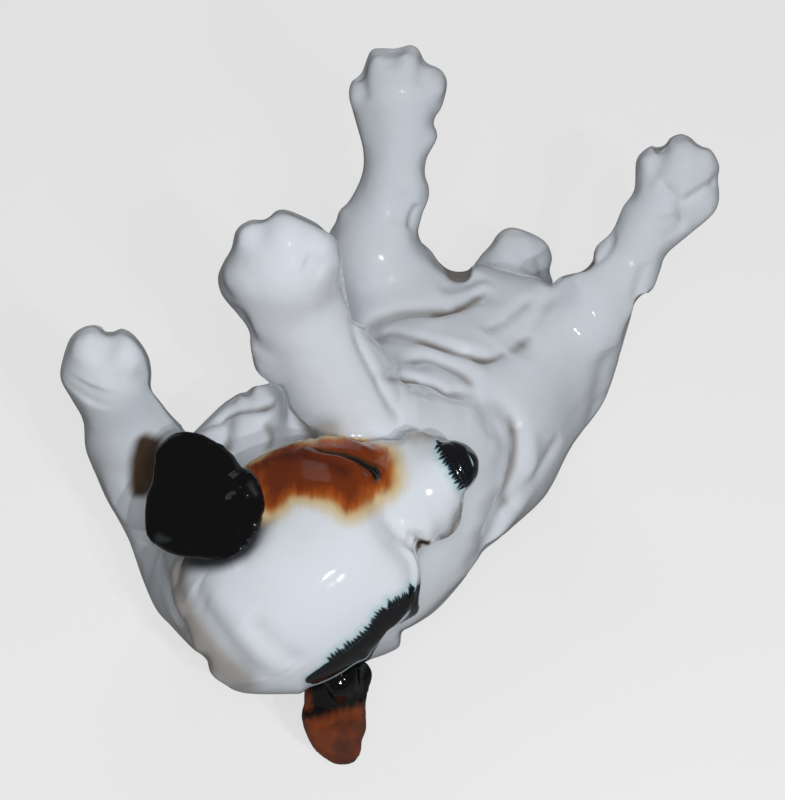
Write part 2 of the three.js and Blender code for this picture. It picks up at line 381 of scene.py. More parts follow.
def numbers(items, name, columns, kind=np.float32):
    """A property of each point or edge of a mesh, as rows of an array."""
    flat = np.empty(len(items) * columns, kind)
    items.foreach_get(name, flat)
    return flat.reshape(-1, columns)


def places(mesh):
    """The points of a mesh."""
    return numbers(mesh.vertices, "co", 3).astype(float)


def facings(mesh):
    """The outward directions of a mesh's points."""
    return numbers(mesh.vertex_normals, "vector", 3).astype(float)


def edge_ends(mesh):
    """The two ends of each edge of a mesh, as two rows."""
    return numbers(mesh.edges, "vertices", 2, np.int32).T


def move(mesh, points):
    """Puts the points of a mesh at new places."""
    mesh.vertices.foreach_set("co", points.astype(np.float32).ravel())
    mesh.update()


def on_castings(mesh, indexes):
    """Which points of a mesh are corners of some castings' faces."""
    faces = [face.vertices for face in mesh.polygons if face.material_index in indexes]
    found = np.zeros(len(mesh.vertices), bool)
    found[[corner for corners in faces for corner in corners]] = True
    return found


def near_line(points, line, border):
    """The indexes of the points that are in the box round a line, with a border."""
    low, high = line.min(0) - border, line.max(0) + border
    return np.flatnonzero(((points > low) & (points < high)).all(1))


def reach(line, points):
    """How far each point is from a line, and at which share of the line, from 0 to 1, it is nearest."""
    nearest = np.full(len(points), np.inf)
    share = np.full(len(points), 0.5)
    if len(line) == 1:
        return np.linalg.norm(points - line[0], axis=1), share
    steps = np.diff(line, axis=0)
    lengths = np.maximum(np.linalg.norm(steps, axis=1), 1e-9)
    walked = np.concatenate([[0], np.cumsum(lengths)])
    for start, step, length, before in zip(line, steps, lengths, walked):
        along = np.clip((points - start) @ step / length, 0, length)
        gap = np.linalg.norm(points - start - along[:, None] * step / length, axis=1)
        closer = gap < nearest
        nearest[closer] = gap[closer]
        share[closer] = (before + along[closer]) / walked[-1]
    return nearest, share


def in_picture(points):
    """The pixels that points are seen at, and how far in front of the camera they are."""
    view = np.array([across, -upwards, -towards_camera])
    offset = (points - np.array(eye)) @ view.T
    return offset[:, :2] / offset[:, 2:] * FOCAL_PIXELS + np.array(PICTURE) / 2, offset[:, 2]


def even(values, ends, rounds):
    """Values of points after each has taken the mean of itself and its neighbours a few times."""
    first, second = ends
    count = np.maximum(np.bincount(np.concatenate(ends), minlength=len(values)), 1)
    for _ in range(rounds):
        for axis in range(3):
            column = values[:, axis]
            total = np.bincount(first, column[second], len(values))
            total += np.bincount(second, column[first], len(values))
            values[:, axis] = (column + total / count) / 2
    return values


# A stroke fades out over this share of its length at each end.
FADE = 0.18


def model(mesh, strokes, only=None):
    """Works strokes into a skin of clay, or into one casting's part of it."""
    sight = Sight(mesh, only)
    points = places(mesh)
    normals = even(facings(mesh), edge_ends(mesh), rounds=4)
    normals /= np.linalg.norm(normals, axis=1)[:, None]
    moved = np.zeros(len(points))
    for stroke in strokes:
        line = sight.line(stroke.points)
        lines = [line, sight.other_side(line)] if stroke.both_sides else [line]
        width = stroke.width * MM
        for line in lines:
            near = near_line(points, line, 3 * width)
            gap, share = reach(line, points[near])
            falloff = np.exp(-((gap / width) ** 2))
            if len(line) > 1:
                falloff *= np.clip(np.minimum(share, 1 - share) / FADE, 0, 1) ** 0.7
            facing = normals[near[gap < width]].sum(0)
            falloff[normals[near] @ facing < 0] = 0
            moved[near] += falloff * stroke.height * MM
    if only is not None:
        moved[on_castings(mesh, set(range(len(LUTED))) - {only})] = 0
    move(mesh, points + normals * moved[:, None])


# Fettling, in pixels: how far from the outline clay may give way, half the width of the strips in which the
# edge is looked for, how far off the outline it is looked for, and how softly it all fades past the ends.
FETTLED_BORDER = 36
HALF_STRIP = 3
EDGE_WITHIN = 16
END_SOFTNESS = 5
# Marks a place where no clay was found near the outline.
NO_EDGE = -99
FETTLE_ROUNDS = 4


def fettle(mesh, outline, castings=None, softness=9):
    """Scrapes and fills castings until their edge, as the camera sees it, follows an outline.

    The outline is in pixels and runs clockwise; softness is how many pixels of skin behind it give way.
    """
    line = np.array(curve_through(outline, 4))
    travel = np.gradient(line, axis=0)
    travel /= np.linalg.norm(travel, axis=1)[:, None]
    outward = travel[:, ::-1] * (1, -1)
    points = places(mesh)
    seen = in_picture(points)[0]
    near = near_line(seen, line, FETTLED_BORDER)
    if castings is not None:
        wanted = on_castings(mesh, {LUTED.index(node) for node in castings})
        near = near[wanted[near]]
    gaps = np.abs(seen[near][:, None] - line[::3]).max(2).min(1)
    near = near[gaps < FETTLED_BORDER]
    order = np.full(len(points), -1)
    order[near] = np.arange(len(near))
    ends = order[edge_ends(mesh)]
    ends = ends[:, (ends >= 0).all(0)]
    own = np.arange(len(near))
    view = np.array([across, -upwards])
    for _ in range(FETTLE_ROUNDS):
        seen, away = in_picture(points[near])
        out = seen @ outward.T - (line * outward).sum(1)
        run = seen @ travel.T - (line * travel).sum(1)
        in_strip = (np.abs(run) < HALF_STRIP) & (np.abs(out) < EDGE_WITHIN)
        edge = np.where(in_strip, out, NO_EDGE).max(0)
        over = np.where(edge > NO_EDGE, edge, 0)
        over = np.convolve(np.pad(over, 1, "edge"), (0.25, 0.5, 0.25), "valid")
        closest = (out**2 + run**2).argmin(1)
        behind = over[closest] - out[own, closest]
        past = np.maximum(np.abs(run[own, closest]) - HALF_STRIP, 0)
        give = np.exp(-((behind / softness) ** 2) - (past / END_SOFTNESS) ** 2)
        push = -outward[closest] * (over[closest] * give * away / FOCAL_PIXELS)[:, None]
        points[near] += even(push @ view, ends, rounds=6)
    move(mesh, points)


# Edges of the trunk, as pixels where the outline turns: the right flank down to the neck, the nape, and the
# chest between the forelegs
RIGHT_FLANK_EDGE = [
    (620, 355), (611, 384), (600, 408), (572, 446), (552, 485), (538, 504), (507, 532), (483, 553),
    (460, 584), (434, 612), (404, 631),
]
NAPE_EDGE = [
    (298, 694), (254, 694), (234, 690), (222, 681), (211, 673), (205, 658), (192, 648), (171, 626),
    (156, 609), (143, 580), (130, 543), (119, 521), (107, 500), (91, 466),
]
CHEST_EDGE = [(196, 432), (213, 413), (229, 400), (249, 396), (257, 389), (269, 383)]

fettle(figure, RIGHT_FLANK_EDGE, ["torso", "right_hindleg"])
fettle(figure, NAPE_EDGE, ["torso", "head", "left_foreleg"])
fettle(figure, CHEST_EDGE, ["torso"])

# The folds of the belly, from the left thigh across to the right
BELLY_FOLDS = [
    pressed(1.5, 0.5, (361, 330), (383, 317), (414, 311), (444, 309), (465, 305), (483, 294)),
    pressed(0.9, 0.5, (428, 314), (450, 311), (467, 303), (488, 290)),
    raised(1.6, 0.5, (380, 327), (410, 321), (440, 321), (470, 312), (494, 300)),
    pressed(1.3, 0.6, (358, 338), (380, 335), (393, 332), (420, 339), (439, 347), (460, 354), (488, 359)),
    pressed(1.3, 0.6, (470, 357), (488, 359), (513, 350), (534, 333)),
    pressed(0.8, 0.5, (416, 337), (439, 346), (460, 353), (488, 358), (508, 352)),
    raised(1.4, 0.5, (385, 326), (412, 330), (438, 338), (464, 345), (492, 349)),
    pressed(1.2, 0.7, (404, 362), (427, 358), (448, 366), (465, 376), (480, 394)),
    raised(1.5, 0.5, (400, 350), (425, 349), (450, 356), (470, 365), (490, 379)),
    pressed(1.4, 0.8, (484, 331), (505, 319), (519, 307), (534, 293)),
    pressed(1.6, 0.6, (438, 290), (460, 284), (485, 275)),
    raised(1.8, 0.5, (440, 300), (465, 293), (492, 283)),
    pressed(2.8, 1.0, (576, 285), (547, 305), (531, 333), (514, 354)),
]
# The crease round the chest, which goes down the flank
CHEST_CREASE = [
    pressed(1.1, 0.7, (376, 377), (414, 378), (435, 385), (448, 394), (467, 393), (484, 398)),
    pressed(0.7, 0.4, (384, 377), (414, 378), (435, 385), (450, 395)),
    raised(3.6, 0.8, (400, 400), (430, 407), (462, 411), (484, 422)),
    pressed(2.0, 0.6, (484, 398), (505, 408), (516, 432), (515, 465), (505, 500), (494, 532), (480, 560)),
    pressed(1.0, 0.4, (508, 414), (517, 440), (513, 471), (504, 500)),
    raised(1.4, 0.4, (500, 416), (506, 440), (504, 470), (496, 500)),
    raised(2.0, 0.6, (527, 428), (532, 460), (531, 482), (516, 506)),
    pressed(1.4, 0.9, (560, 436), (551, 452), (529, 486), (508, 505), (498, 520)),
    pressed(3.0, 0.7, (606, 350), (603, 378), (596, 412)),
    raised(7.0, 0.8, (546, 384)),
]
CHEST_TUFTS = [
    raised(1.8, 1.0, (212, 427)),
    raised(3.0, 1.0, (246, 424)),
    raised(1.4, 0.9, (236, 401), (254, 393), (268, 387)),
    raised(2.2, 0.6, (290, 424)),
    pressed(1.1, 1.1, (212, 432), (222, 418), (236, 411), (258, 408), (277, 402)),
    pressed(1.0, 0.8, (226, 418), (229, 436), (224, 454)),
    pressed(1.3, 0.9, (278, 380), (286, 402), (296, 420), (312, 440)),
    pressed(1.0, 0.6, (262, 420), (270, 436), (264, 452)),
]
NAPE_FOLDS = [
    pressed(1.5, 1.0, (160, 556), (166, 585), (174, 613), (190, 642)),
    raised(1.2, 0.6, (176, 560), (176, 590), (184, 617)),
    pressed(2.8, 0.8, (190, 592), (208, 622), (228, 652), (252, 682)),
    raised(3.0, 0.5, (200, 585), (226, 612), (257, 643), (287, 672)),
    pressed(1.8, 0.6, (245, 618), (272, 645), (300, 666)),
    raised(1.7, 0.5, (198, 648)),
    raised(1.7, 0.5, (222, 678)),
]

model(figure, BELLY_FOLDS + CHEST_CREASE + CHEST_TUFTS + NAPE_FOLDS)

# The legs and the tail
# Solid castings. Each paw has toes parted by grooves, and folds at the wrist or the heel.

# Edges of the legs, of the rump between them, and of the tail
LEFT_FORELEG_EDGE = [
    (98, 480), (86, 450), (83, 421), (72, 400), (61, 380), (62, 362), (71, 337), (87, 325), (100, 324),
    (110, 328), (122, 327), (136, 337), (149, 358), (154, 388), (166, 409), (189, 433),
]
RIGHT_FORELEG_EDGE = [
    (269, 383), (256, 370), (251, 350), (248, 330), (238, 315), (222, 295), (218, 277), (224, 261),
    (231, 247), (237, 229), (251, 219), (263, 216), (280, 209), (300, 215), (328, 230), (339, 246),
    (343, 273), (347, 298), (352, 318),
]
LEFT_HINDLEG_EDGE = [
    (340, 210), (351, 198), (362, 174), (363, 150), (355, 119), (349, 96), (352, 81), (361, 74), (370, 52),
    (379, 48), (396, 48), (411, 45), (421, 51), (427, 61), (442, 71), (447, 84), (442, 106), (434, 121),
    (437, 137), (427, 158), (425, 174), (429, 190), (425, 209),
]
RUMP_EDGE = [(428, 200), (421, 219), (419, 237), (432, 252), (441, 264), (459, 273), (472, 266)]
RIGHT_HINDLEG_EDGE = [
    (553, 282), (563, 276), (582, 271), (591, 264), (596, 247), (612, 231), (623, 207), (634, 190),
    (636, 162), (642, 152), (652, 145), (661, 146), (670, 138), (681, 134), (691, 138), (699, 145),
    (711, 150), (719, 165), (718, 179), (719, 200), (712, 215), (690, 234), (667, 254), (660, 271),
    (652, 290), (637, 299), (630, 320), (619, 358),
]
TAIL_EDGE = [
    (473, 266), (482, 254), (491, 244), (497, 235), (505, 229), (516, 228), (535, 235), (547, 244),
    (552, 258), (550, 270), (553, 282),
]

fettle(figure, LEFT_FORELEG_EDGE, ["left_foreleg", "torso"])
fettle(figure, RIGHT_FORELEG_EDGE, ["right_foreleg"])
fettle(figure, LEFT_HINDLEG_EDGE, ["left_hindleg", "torso"])
fettle(figure, RUMP_EDGE, ["left_hindleg", "torso"], softness=16)
fettle(figure, RIGHT_HINDLEG_EDGE, ["right_hindleg", "torso"])
fettle(figure, TAIL_EDGE, ["tail"])

LEFT_FORE_PAW = [
    pressed(2.2, 0.7, (108, 320), (106, 342), (100, 366)),
    pressed(3.0, 0.5, (90, 384), (85, 402)),
    pressed(1.2, 0.5, (156, 390), (144, 380), (134, 374)),
]
RIGHT_FORE_PAW = [
    pressed(1.6, 0.8, (262, 214), (260, 228), (256, 242)),
    pressed(1.4, 0.5, (330, 220), (326, 234), (320, 248)),
    pressed(1.6, 0.4, (222, 254), (236, 258), (248, 264)),
    pressed(1.5, 0.4, (304, 260), (324, 270)),
    pressed(0.9, 0.7, (352, 322), (362, 348), (374, 372), (388, 400), (402, 424)),
    pressed(2.0, 0.5, (236, 304), (250, 330), (254, 350)),
]
LEFT_HIND_PAW = [
    pressed(2.0, 0.6, (394, 44), (389, 58), (387, 70)),
    pressed(1.5, 0.5, (424, 56), (424, 72), (420, 88)),
    pressed(1.4, 0.5, (362, 74), (362, 88), (366, 102)),
    pressed(1.8, 0.4, (408, 190), (402, 208), (398, 226)),
    pressed(1.2, 0.7, (419, 204), (413, 216), (410, 230)),
    raised(1.8, 0.3, (430, 142)),
    raised(2.4, 0.4, (418, 188)),
]
RIGHT_HIND_PAW = [
    pressed(1.6, 0.6, (660, 143), (657, 158), (654, 174), (658, 184)),
    pressed(0.8, 0.8, (657, 181), (668, 188), (676, 198), (680, 211), (682, 231)),
    pressed(0.8, 0.7, (681, 204), (699, 192), (718, 180)),
    pressed(2.0, 0.4, (668, 214), (671, 238)),
    pressed(1.0, 0.6, (612, 231), (610, 245), (602, 256), (591, 264)),
    pressed(1.2, 0.5, (646, 262), (640, 282), (635, 300)),
]
TAIL_FOLDS = [
    pressed(1.4, 0.4, (515, 230), (520, 246), (526, 264)),
    pressed(1.2, 0.4, (538, 256), (542, 276)),
]

model(figure, LEFT_FORE_PAW + RIGHT_FORE_PAW + LEFT_HIND_PAW + RIGHT_HIND_PAW + TAIL_FOLDS)

# The head
# A hollow casting on the neck. The brow is round, the eyes are shut to slits, the muzzle is short and blunt
# with full lips, and the nose is a button.

# Edges of the head: the brow over the left eye, and the muzzle and the lips down to the right ear
BROW_EDGE = [(246, 464), (256, 457), (270, 450), (284, 445), (300, 440), (316, 437)]
MUZZLE_EDGE = [
    (409, 432), (421, 431), (434, 436), (443, 441), (453, 440), (467, 445), (477, 456), (479, 467),
    (476, 479), (470, 488), (465, 497), (461, 518), (451, 533), (433, 542), (421, 549), (417, 563),
    (418, 580), (417, 594), (415, 611), (405, 621), (389, 630), (380, 642), (370, 660),
]

fettle(figure, BROW_EDGE, ["head"], softness=12)
fettle(figure, MUZZLE_EDGE, ["head"])

FACE = [
    # the crease where the left ear lies on the skull
    pressed(1.8, 0.9, (232, 556), (243, 549), (253, 538), (260, 525), (264, 510)),
    # the stop between the brow and the muzzle
    pressed(1.2, 0.6, (374, 488), (382, 508), (390, 526), (402, 540), (419, 546)),
    raised(3.5, 0.8, (398, 586)),
    raised(3.6, 0.5, (425, 480)),
    # the cheek and the lips
    raised(2.6, 0.4, (382, 434), both_sides=True),
    pressed(1.4, 0.4, (404, 428), (412, 440), (424, 448), (442, 456), both_sides=True),
    # the nose
    raised(2.6, 0.7, (462, 462)),
    pressed(1.0, 0.3, (436, 442), (447, 458), (456, 475), (466, 495)),
    # the shut eye between its lids
    pressed(
        0.7, 1.0, (312, 449), (336, 452), (352, 455), (366, 462), (377, 472), (374, 484), both_sides=True
    ),
    raised(0.8, 0.6, (300, 449), (318, 456), (338, 460), (353, 467), (361, 476), (366, 490), both_sides=True),
    raised(1.3, 0.6, (318, 439), (340, 441), (358, 447), (375, 458), both_sides=True),
    raised(1.8, 0.5, (390, 470), both_sides=True),
    # the corner of the mouth
    pressed(0.6, 0.6, (430, 543), (420, 543), (418, 550), (420, 562)),
]

model(figure, FACE, only=HEAD)
figure = worked(figure, smoothing(4))

# The glaze and the paint
# A clear glaze lies over the white clay. It runs off the ridges and gathers in the folds, where it looks
# grey-beige, and the creases are darkened further with painted shade. Painted shade also lies along the
# edges of the head and down the neck, and a painted shadow of the left ear lies on the foreleg. Under the
# glaze the dog's left eye stands in a red-brown patch, and the nose, the right brow and the ears are black.

COOL_WHITE = (0.68, 0.74, 0.815, 1)
WARM_WHITE = (0.73, 0.765, 0.80, 1)
# grey-beige of gathered glaze, deepened into painted shade in the creases
POOL_AND_SHADE_GREY = (0.21, 0.185, 0.165, 1)
# painted warm grey shade along the edges of the head and down the neck
SIDE_SHADE_GREY = (0.24, 0.195, 0.155, 1)
# painted brown shadow of the left ear on the foreleg
EAR_SHADOW_BROWN = (0.055, 0.030, 0.014, 1)
# black run from the left ear, with painted shade along the crease under its edge
SMUDGE_AND_SHADE_BLACK = (0.012, 0.013, 0.016, 1)
CREAM = (0.62, 0.49, 0.28, 1)
OCHRE = (0.46, 0.17, 0.035, 1)
RED_BROWN = (0.35, 0.072, 0.009, 1)
SIENNA = (0.13, 0.020, 0.005, 1)
DARK_UMBER = (0.085, 0.014, 0.006, 1)
LID_BROWN = (0.035, 0.022, 0.010, 1)
LID_BLACK = (0.006, 0.007, 0.008, 1)
PALE_BLUE = (0.40, 0.58, 0.64, 1)
BLUE_GREEN = (0.05, 0.11, 0.14, 1)
PATCH_BLACK = (0.006, 0.006, 0.008, 1)
WORN_BROWN = (0.045, 0.035, 0.026, 1)
GLAZE_ROUGHNESS = 0.25
GLAZE_IOR = 1.5
PEEL_DEPTH = 0.06 * MM


def set_inputs(node, values):
    """Gives inputs of a shader node their values."""
    for name, value in values.items():
        node.inputs[name].default_value = value


class Wiring:
    """Puts shader nodes in a material or a group; an input is a value or another node's output."""

    def __init__(self, tree):
        self.tree = tree

    def node(self, kind, inputs, output=0, **settings):
        """An output of a new node; settings are its properties."""
        made = self.tree.nodes.new("ShaderNode" + kind)
        for name, value in settings.items():
            setattr(made, name, value)
        for name, value in inputs.items():
            if isinstance(value, bpy.types.NodeSocket):
                self.tree.links.new(value, made.inputs[name])
            else:
                made.inputs[name].default_value = value
        return made.outputs[output]

    def mixed(self, factor, first, second):
        """One colour over another."""
        return self.node("Mix", {0: factor, 6: first, 7: second}, 2, data_type="RGBA")

    def between(self, value, low, high):
        """0 below the low value, 1 above the high one, and smooth between them."""
        ramp = {"Value": value, "From Min": low, "From Max": high}
        return self.node("MapRange", ramp, interpolation_type="SMOOTHSTEP")

    def sum(self, first, second, scale=1.0):
        """The first value plus the second one times a scale."""
        return self.node("Math", {0: second, 1: scale, 2: first}, operation="MULTIPLY_ADD")

    def product(self, first, second):
        """One value times another."""
        return self.node("Math", {0: first, 1: second}, operation="MULTIPLY")

    def noise(self, place, scale, detail):
        """Soft noise, with its scale in waves per metre."""
        return self.node("TexNoise", {"Vector": place, "Scale": scale, "Detail": detail})

    def measure(self, name):
        """A number that is kept at each point of the skin."""
        return self.node("Attribute", {}, "Fac", attribute_name=name)

    def coat(self, name, noise, share, low, high):
        """How well a colour covers where its measure is, with noise along the edge."""
        return self.between(self.sum(self.measure(name), noise, share), low, high)


def group(name, inputs, output):
    """A new node group with some numbers as inputs and one as output: it, and the sockets inside it."""
    tree = bpy.data.node_groups.new(name, "ShaderNodeTree")
    for socket in inputs:
        tree.interface.new_socket(socket, in_out="INPUT", socket_type="NodeSocketFloat")
    tree.interface.new_socket(output, in_out="OUTPUT", socket_type="NodeSocketFloat")
    start = tree.nodes.new("NodeGroupInput")
    end = tree.nodes.new("NodeGroupOutput")
    return tree, start.outputs, end.inputs[output]


# The fine waviness of a fired glaze, like the peel of an orange.
peel, _, peel_out = group("glaze peel", [], "Height")
inside = Wiring(peel)
spot = inside.node("TexCoord", {}, "Object")
wave = inside.sum(inside.noise(spot, 700.0, 1.0), inside.noise(spot, 230.0, 1.0), 2.5)
inside.tree.links.new(wave, peel_out)

# Streaks that a brush leaves in the colour; they run down the picture, as the hairs of the patches do.
STREAK_STRETCH = (1.0, 0.22, 0.3)
streaks, streaks_in, streaks_out = group("brush streaks", ["Per metre"], "Streaks")
inside = Wiring(streaks)
spot = inside.node("TexCoord", {}, "Object")
turned = inside.node("VectorRotate", {"Vector": spot, "Angle": -AZIMUTH}, rotation_type="Z_AXIS")
laid = inside.node("VectorRotate", {"Vector": turned, "Angle": -ELEVATION}, rotation_type="X_AXIS")
drawn = inside.node("VectorMath", {0: laid, 1: STREAK_STRETCH}, operation="MULTIPLY")
grain = inside.node(
    "TexNoise", {"Vector": drawn, "Scale": streaks_in["Per metre"], "Detail": 4.0, "Roughness": 0.6}
)
inside.tree.links.new(grain, streaks_out)


def glazed(name, colour, shine):
    """A material under clear glaze; colour wires the paint, and shine is where the glaze lies."""
    material = bpy.data.materials.new(name)
    material.use_nodes = True
    wiring = Wiring(material.node_tree)
    shader = material.node_tree.nodes["Principled BSDF"]
    links = material.node_tree.links
    links.new(colour(wiring), shader.inputs["Base Color"])
    set_inputs(
        shader,
        {"IOR": GLAZE_IOR, "Specular IOR Level": 0.0, "Coat Roughness": 0.035, "Coat IOR": GLAZE_IOR},
    )
    height = wiring.node("Group", {}, "Height", node_tree=peel)
    bump = wiring.node("Bump", {"Strength": 0.35, "Distance": PEEL_DEPTH, "Height": height})
    links.new(bump, shader.inputs["Normal"])
    shine(wiring, shader)
    return material


def white_clay(wiring):
    """White clay under glaze, with the painted patches of the head."""
    spot = wiring.node("TexCoord", {}, "Object")
    clouds = wiring.noise(spot, 110.0, 3.0)
    crumbs = wiring.noise(spot, 900.0, 3.0)
    white = wiring.mixed(clouds, COOL_WHITE, WARM_WHITE)
    # glaze that has gathered in the folds, darkened further with painted shade in the creases
    pool_and_shade = wiring.coat("hollow", clouds, 0.12, 0.08, 1.9)
    white = wiring.mixed(wiring.product(pool_and_shade, 0.95), white, POOL_AND_SHADE_GREY)
    # and painted warm grey shade along the edges of the head and down the neck
    side_shade = wiring.coat("side_shade", clouds, 2.0, -2.4, 1.8)
    white = wiring.mixed(wiring.product(side_shade, 0.72), white, SIDE_SHADE_GREY)
    # a painted brown shadow of the left ear on the foreleg
    white = wiring.mixed(wiring.coat("ear_shadow", clouds, 1.0, -0.4, 1.6), white, EAR_SHADOW_BROWN)
    # black and grey run from the left ear on to the skull, with painted shade where the ear's edge lies on it
    smudge_and_shade = wiring.coat("smudge_and_shade", clouds, 1.0, -0.8, 1.4)
    white = wiring.mixed(wiring.product(smudge_and_shade, 0.97), white, SMUDGE_AND_SHADE_BLACK)
    # the red-brown patch, sprayed out to cream at its edge and streaked with dark sienna
    strokes = wiring.node("Group", {"Per metre": 1500.0}, "Streaks", node_tree=streaks)
    broad = wiring.node("Group", {"Per metre": 420.0}, "Streaks", node_tree=streaks)
    rust = wiring.sum(wiring.measure("rust"), broad, 2.0)
    paint = wiring.mixed(wiring.between(rust, -1.8, 0.8), white, CREAM)
    paint = wiring.mixed(wiring.between(rust, 0.3, 1.8), paint, OCHRE)
    paint = wiring.mixed(wiring.between(wiring.sum(rust, strokes), 1.2, 3.0), paint, RED_BROWN)
    sienna = wiring.between(wiring.sum(wiring.sum(rust, strokes, 3.0), broad, 3.0), 4.2, 7.0)
    paint = wiring.mixed(wiring.product(sienna, 0.8), paint, SIENNA)
    umber = wiring.coat("umber", broad, 2.4, 0.4, 3.0)
    paint = wiring.mixed(wiring.product(umber, 0.85), paint, DARK_UMBER)
    slit = wiring.sum(wiring.measure("slit"), crumbs, 0.3)
    paint = wiring.mixed(wiring.between(slit, -0.5, 0.25), paint, LID_BROWN)
    paint = wiring.mixed(wiring.between(slit, 0.1, 0.4), paint, LID_BLACK)
    # black with a blue-green edge where the colour thins out
    black = wiring.measure("black")
    halo = wiring.between(wiring.sum(black, crumbs, 0.6), -0.9, 0.3)
    paint = wiring.mixed(wiring.product(halo, 0.7), paint, PALE_BLUE)
    thin = wiring.between(wiring.sum(black, crumbs, 0.3), -0.08, 0.22)
    paint = wiring.mixed(thin, paint, BLUE_GREEN)
    brown = wiring.between(wiring.measure("brown"), -0.6, 0.8)
    full = wiring.between(wiring.sum(black, strokes, 0.25), 0.04, 0.26)
    dark = wiring.mixed(wiring.product(brown, 0.8), PATCH_BLACK, WORN_BROWN)
    return wiring.mixed(full, paint, dark)


def worn_underneath(wiring, shader):
    """The glaze is wiped off the flat that the figurine stands on in the kiln."""
    bare = wiring.between(wiring.measure("foot"), 0.2, 0.8)
    for name, glaze, clay in (("Roughness", GLAZE_ROUGHNESS, 0.6), ("Coat Weight", 1.0, 0.0)):
        value = wiring.node("MapRange", {"Value": bare, "To Min": glaze, "To Max": clay})
        wiring.tree.links.new(value, shader.inputs[name])


white_glaze = glazed("white bone china", white_clay, worn_underneath)

# A measure is how many millimetres inside a colour's edge a point lies. This one is far outside.
UNPAINTED = -3.0
# A brush stroke: places, and its radius at the start and at the end in millimetres.
Brush = namedtuple("Brush", "points start end")


def brushed(points, sight, strokes):
    """How deep each point lies inside some brush strokes, in millimetres, and below 0 outside them."""
    depth = np.full(len(points), UNPAINTED)
    for stroke in strokes:
        line = sight.line(stroke.points, 3)
        near = near_line(points, line, (max(stroke.start, stroke.end) - UNPAINTED) * MM)
        gap, share = reach(line, points[near])
        radius = stroke.start + (stroke.end - stroke.start) * share
        depth[near] = np.maximum(depth[near], radius - gap / MM)
    return depth


def filled(points, sight, outline):
    """How deep each point lies inside a closed outline that is drawn on the skin, in millimetres."""
    line = sight.line([*outline, outline[0]], 4)
    middle = line.mean(0)
    arms = line - middle
    upright = np.cross(arms[:-1], arms[1:]).sum(0)
    upright /= np.linalg.norm(upright)
    side = np.cross(upright, arms[0])
    side /= np.linalg.norm(side)
    flat = np.stack([arms @ side, arms @ np.cross(upright, side)], 1)
    near = near_line(points, line, -UNPAINTED * MM)
    off = points[near] - middle
    u, w = off @ side, off @ np.cross(upright, side)
    within = np.zeros(len(near), bool)
    for (u0, w0), (u1, w1) in zip(flat, flat[1:]):
        if w0 != w1:
            crosses = (w0 > w) != (w1 > w)
            within ^= crosses & (u < u0 + (w - w0) * (u1 - u0) / (w1 - w0))
    gap = reach(line, points[near])[0] / MM
    depth = np.full(len(points), UNPAINTED)
    depth[near] = np.where(within, gap, -gap)
    return np.maximum(depth, UNPAINTED)


HAIR_ROOT = 0.34
HAIR_TIP = 0.04


def hairs(edge, slant, length, gap):
    """Short tapered strokes along an edge, as hairs are painted: the edge and the slant are in pixels."""
    marks = []
    for x, y in curve_through(edge, gap)[1:-1]:
        size = length * chance.uniform(0.6, 1.15)
        lean = chance.uniform(-0.25, 0.25)
        tip = (x + (slant[0] - slant[1] * lean) * size, y + (slant[1] + slant[0] * lean) * size)
        marks.append(Brush([(x, y), tip], HAIR_ROOT, HAIR_TIP))
    return marks


chance = random.Random(4)
NOSE = [
    Brush([(441, 442), (448, 453), (459, 469), (467, 487)], 0.7, 0.25),
    Brush([(451, 443), (460, 453), (468, 467), (471, 481)], 1.4, 0.8),
    Brush([(460, 443), (472, 451), (478, 463), (477, 476)], 1.9, 1.6),
    Brush([(25, 0, 0), (25, 0, -3)], 2.0, 1.6),
    Brush([(25, 0, -1), (24.5, -2.2, -2)], 1.8, 1.8),
    *hairs([(436, 442), (443, 453), (451, 465), (458, 477), (465, 490)], (-0.78, 0.62), 6, 4.6),
]
BROW = [
    Brush([(416, 592), (411, 603), (401, 609), (390, 614), (381, 624), (373, 636)], 1.0, 1.2),
    Brush([(373, 636), (360, 647), (347, 657), (330, 668), (316, 678)], 1.2, 1.5),
    Brush([(413, 596), (409, 608), (398, 616), (388, 625), (377, 637), (364, 651)], 0.6, 2.2),
    Brush([(364, 650), (348, 663), (332, 674), (318, 681)], 2.0, 1.0),
    Brush([(418, 594), (414, 611), (404, 621), (390, 630), (380, 643), (371, 659)], 1.3, 2.0),
    Brush([(9, -10, -2), (3, -11.5, -3), (-3, -12, -3)], 2.6, 4.2),
    Brush([(4, -14, -8), (-2, -15, -6), (-6, -15, -4), (-10, -14, -3)], 3.4, 3.4),
    *hairs([(414, 586), (409, 598), (398, 603), (387, 608)], (-0.4, -0.92), 7, 3.4),
    *hairs(
        [(387, 608), (378, 618), (370, 630), (357, 641), (344, 651), (328, 662)], (-0.76, -0.65), 5.5, 4.4
    ),
]
MOUTH = [Brush([(428, 543), (420, 542), (418, 549), (419, 558)], 0.2, 0.08)]
EYE_LINE = [
    Brush([(312, 448), (330, 453), (345, 455)], 0.02, 0.12),
    Brush([(345, 455), (357, 461), (366, 467), (375, 474)], 0.12, 0.7),
    Brush([(374, 472), (376, 477)], 0.75, 0.55),
]
RUST = [
    (243, 466), (254, 462), (265, 457), (281, 446), (296, 443), (309, 442), (323, 438), (336, 437),
    (350, 438), (364, 441), (378, 444), (390, 452), (395, 466), (395, 480), (390, 490), (380, 494),
    (374, 500), (368, 506), (360, 511), (350, 513), (343, 511), (335, 505), (327, 502), (318, 499),
    (309, 497), (298, 497), (290, 499), (283, 505), (276, 511), (268, 514), (262, 510), (258, 500),
    (254, 488), (248, 476),
]
UMBER = [
    Brush([(252, 468), (275, 458), (300, 455), (325, 461), (342, 470)], 1.2, 1.7),
    Brush([(384, 470), (388, 484), (384, 492)], 0.3, 0.5),
    Brush([(350, 498), (345, 512)], 0.1, 0.3),
]
